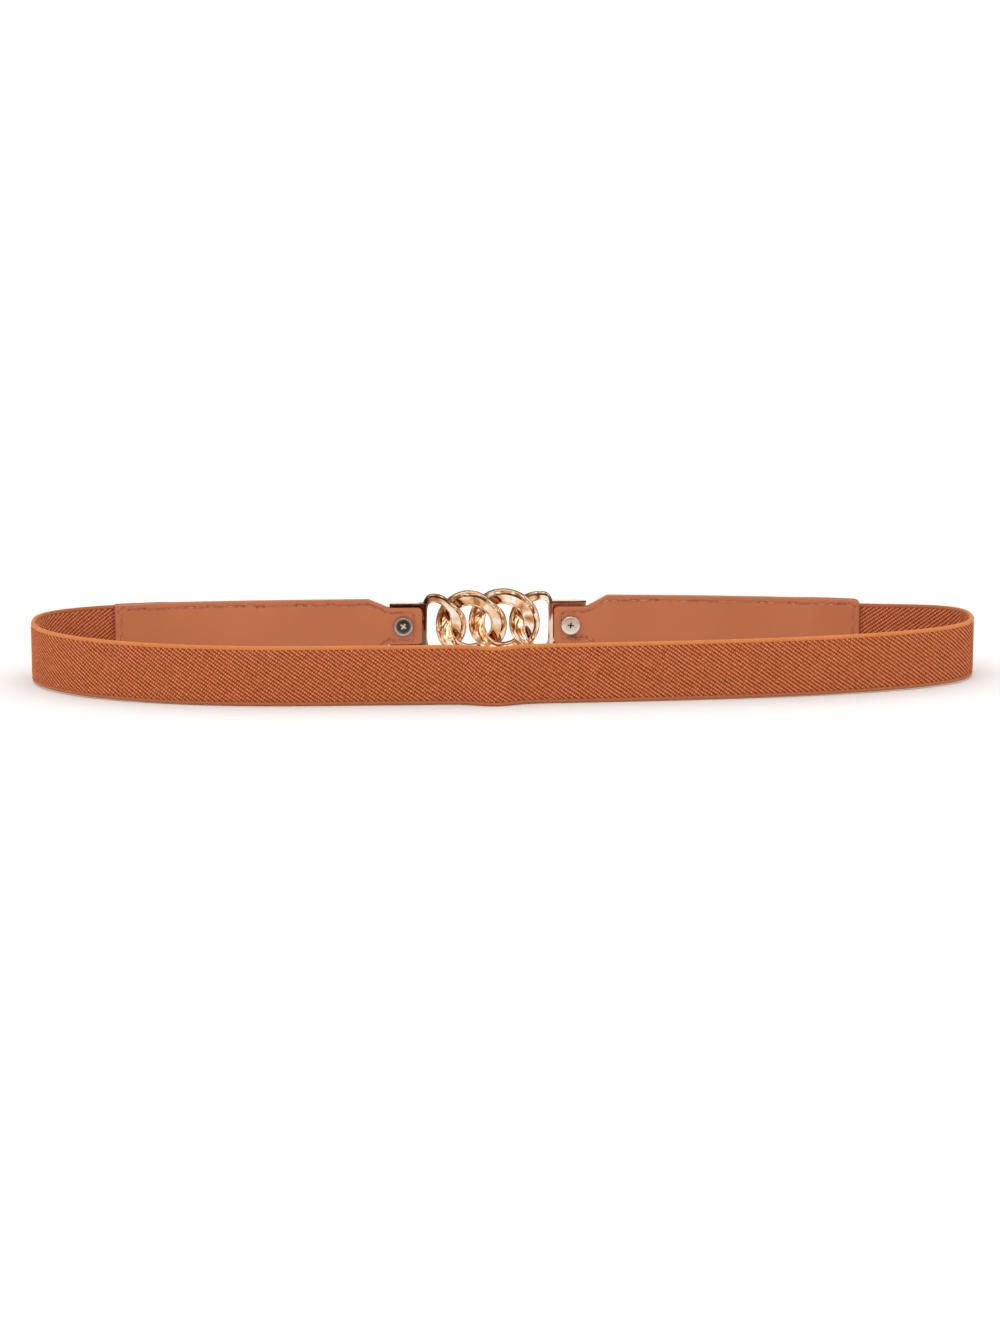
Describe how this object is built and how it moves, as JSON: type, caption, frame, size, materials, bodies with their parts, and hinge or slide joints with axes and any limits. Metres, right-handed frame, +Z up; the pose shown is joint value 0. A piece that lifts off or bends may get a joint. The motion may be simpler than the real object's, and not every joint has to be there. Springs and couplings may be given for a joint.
{
  "type": "elastic stretch belt with link buckle",
  "caption": "Narrow woven elastic belt closed into a loop by a cast metal buckle of interlocking links, held by screws in stitched leather tabs.",
  "frame": {"origin": "on the surface that the belt stands on, under the middle of the belt's whole box", "axes": "+X along the loop's length, +Y from the plain front of the band towards the buckle, +Z up"},
  "size_m": [0.3152, 0.0894, 0.0245],
  "materials": {
    "elastic": "matte twill weave",
    "leather": "smooth satin",
    "gold": "polished light rose gold plating",
    "steel": "polished nickel"
  },
  "bodies": {
    "root": {"elastic_band": "elastic", "tab_left_inner": "leather", "tab_left_outer": "leather", "tab_right_inner": "leather", "tab_right_outer": "leather", "buckle_left": "gold", "buckle_right": "gold", "screw_left": "steel", "screw_right": "steel"}
  },
  "joints": []
}
